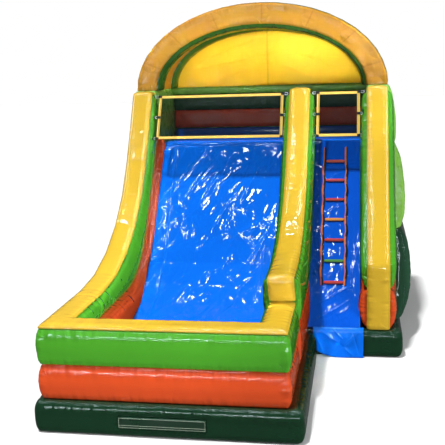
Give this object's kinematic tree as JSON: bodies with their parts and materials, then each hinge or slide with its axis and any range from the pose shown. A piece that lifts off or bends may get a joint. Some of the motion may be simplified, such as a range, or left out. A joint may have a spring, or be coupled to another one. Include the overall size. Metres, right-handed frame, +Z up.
{
  "type": "inflatable slide",
  "caption": "Inflatable slide with an arched tower, a padded slide lane into a splash pool, a climbing lane with a webbing ladder, inflated side walls and safety nets.",
  "frame": {"origin": "on the floor, on the middle plane of the tower, three metres behind the front of the pool wall", "axes": "+Z up, +Y from the pool to the tower, +X to the right of someone who faces the pool"},
  "size_m": [5.13, 7.5006, 5.5043],
  "materials": {
    "base_vinyl": "gloss",
    "dark_vinyl": "gloss",
    "orange_vinyl": "gloss",
    "green_vinyl": "gloss",
    "lime_vinyl": "gloss",
    "yellow_vinyl": "gloss",
    "blue_vinyl": "gloss",
    "black_mesh": "matte",
    "orange_webbing": "matte",
    "red_webbing": "matte",
    "pink_webbing": "matte",
    "amber_webbing": "matte",
    "leaf_webbing": "matte",
    "black_nylon": "matte",
    "steel": "satin"
  },
  "bodies": {
    "slide": {"pool_base": "base_vinyl", "tower_base": "base_vinyl", "pool_wall_lower": "orange_vinyl", "pool_wall_upper": "green_vinyl", "pool_wall_cap": "yellow_vinyl", "left_wall_lower": "orange_vinyl", "left_wall_upper": "green_vinyl", "left_wall_cap": "yellow_vinyl", "divider_lower": "orange_vinyl", "divider_upper": "green_vinyl", "divider_cap": "yellow_vinyl", "right_wall_lower": "orange_vinyl", "right_wall_upper": "green_vinyl", "right_wall_cap": "yellow_vinyl", "slide_bed": "blue_vinyl", "slide_liner": "blue_vinyl", "slide_liner_edge": "blue_vinyl", "climb_bed": "blue_vinyl", "climb_liner": "blue_vinyl", "step_cover": "blue_vinyl", "platform": "blue_vinyl", "room_beam_lower": "orange_vinyl", "room_beam_upper": "dark_vinyl", "room_rail": "lime_vinyl", "tower_lower_left": "dark_vinyl", "tower_lower_rear": "dark_vinyl", "tower_lower_right": "dark_vinyl", "tower_middle_left": "lime_vinyl", "tower_middle_rear": "lime_vinyl", "tower_middle_right": "lime_vinyl", "tower_upper_left": "lime_vinyl", "tower_upper_rear": "lime_vinyl", "tower_upper_right": "lime_vinyl", "front_arch_face": "yellow_vinyl", "front_arch_tube": "green_vinyl", "rear_arch_tube": "lime_vinyl", "canopy_roof": "yellow_vinyl", "back_panel": "yellow_vinyl", "net_left": "black_mesh", "net_left_border": "orange_webbing", "net_right": "black_mesh", "net_right_border": "orange_webbing", "ladder_rail_left": "red_webbing", "ladder_rail_right": "red_webbing", "ladder_rung_1": "red_webbing", "ladder_rung_2": "pink_webbing", "ladder_rung_3": "red_webbing", "ladder_rung_4": "amber_webbing", "ladder_rung_5": "red_webbing", "ladder_rung_6": "leaf_webbing", "ladder_rung_7": "red_webbing", "zip_track": "black_nylon", "inflation_sleeve": "dark_vinyl", "anchor_tab_left": "orange_webbing", "anchor_tab_right": "orange_webbing"},
    "flap": {"zip_flap": "base_vinyl"},
    "slider": {"zip_slider": "steel"},
    "ring_left": {"anchor_ring_left": "steel"},
    "ring_right": {"anchor_ring_right": "steel"}
  },
  "joints": [
    {"name": "flap_hinge", "type": "hinge", "parent": "slide", "child": "flap", "pos_m": [-0.64, -3.1003, 0.265], "axis": [-1, 0, 0], "range_deg": [0, 150]},
    {"name": "zip_slide", "type": "slide", "parent": "slide", "child": "slider", "axis": [-1, 0, 0], "range_m": [0, 0.93]},
    {"name": "ring_left_hinge", "type": "hinge", "parent": "slide", "child": "ring_left", "pos_m": [-1.95, 3.8013, 0.15], "axis": [1, 0, 0], "range_deg": [0, 170]},
    {"name": "ring_right_hinge", "type": "hinge", "parent": "slide", "child": "ring_right", "pos_m": [1.95, 3.8013, 0.15], "axis": [1, 0, 0], "range_deg": [0, 170]}
  ]
}
